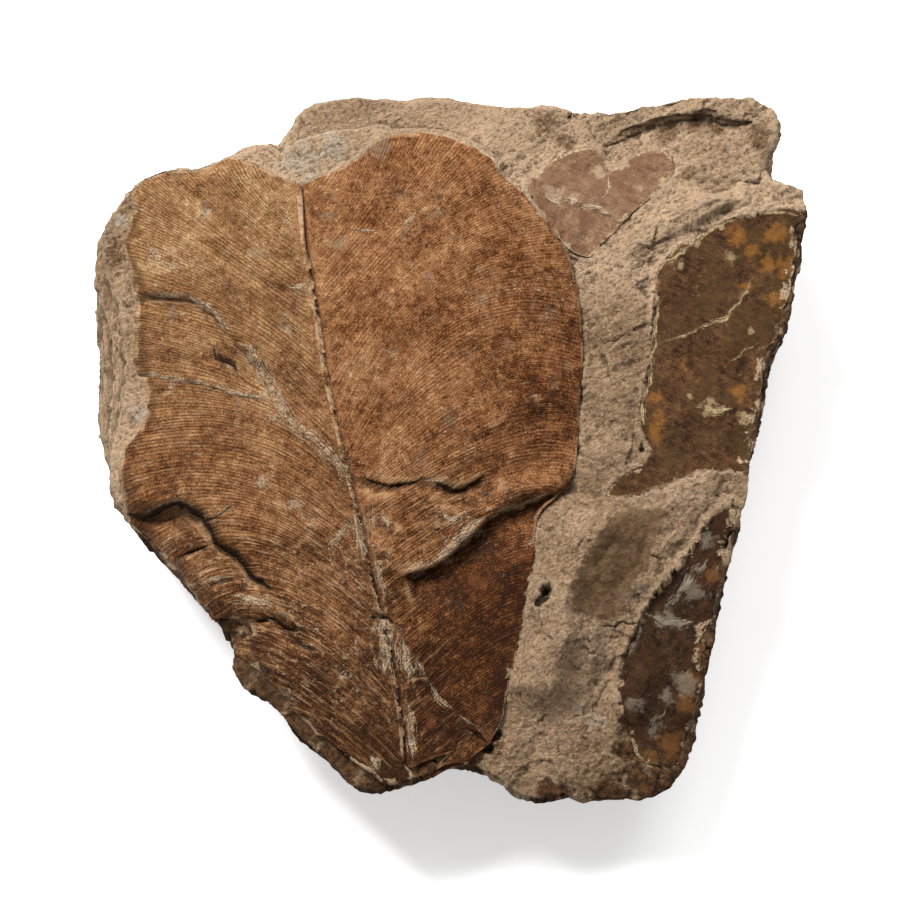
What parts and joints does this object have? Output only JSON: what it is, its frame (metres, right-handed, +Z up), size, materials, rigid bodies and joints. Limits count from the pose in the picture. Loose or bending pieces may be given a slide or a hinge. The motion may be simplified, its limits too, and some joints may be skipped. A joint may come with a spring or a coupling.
{
  "type": "fossil leaves in matrix",
  "caption": "Broken slab of bedded tan siltstone, lying flat, with brown fossil leaf films on its upper face that show a midrib and fine parallel veins.",
  "frame": {"origin": "on the flat resting face, under the middle of the leaf face", "axes": "+Z up out of the leaf face, +Y towards the leaf tips and the high back edge, +X to the right seen from the front"},
  "size_m": [0.1816, 0.1789, 0.0557],
  "materials": {
    "siltstone": "rough, grainy, tan to grey",
    "leaf_film": "matt brown film with fine veins",
    "pale_leaf_film": "matt pale brown film",
    "dark_leaf_film": "matt dark brown film with yellow stains",
    "worn_leaf_film": "matt dark brown film, worn and crusted"
  },
  "bodies": {
    "root": {"matrix": "siltstone", "main_leaf": "leaf_film", "upper_leaf": "pale_leaf_film", "right_leaf": "dark_leaf_film", "lower_leaf": "worn_leaf_film"}
  },
  "joints": []
}
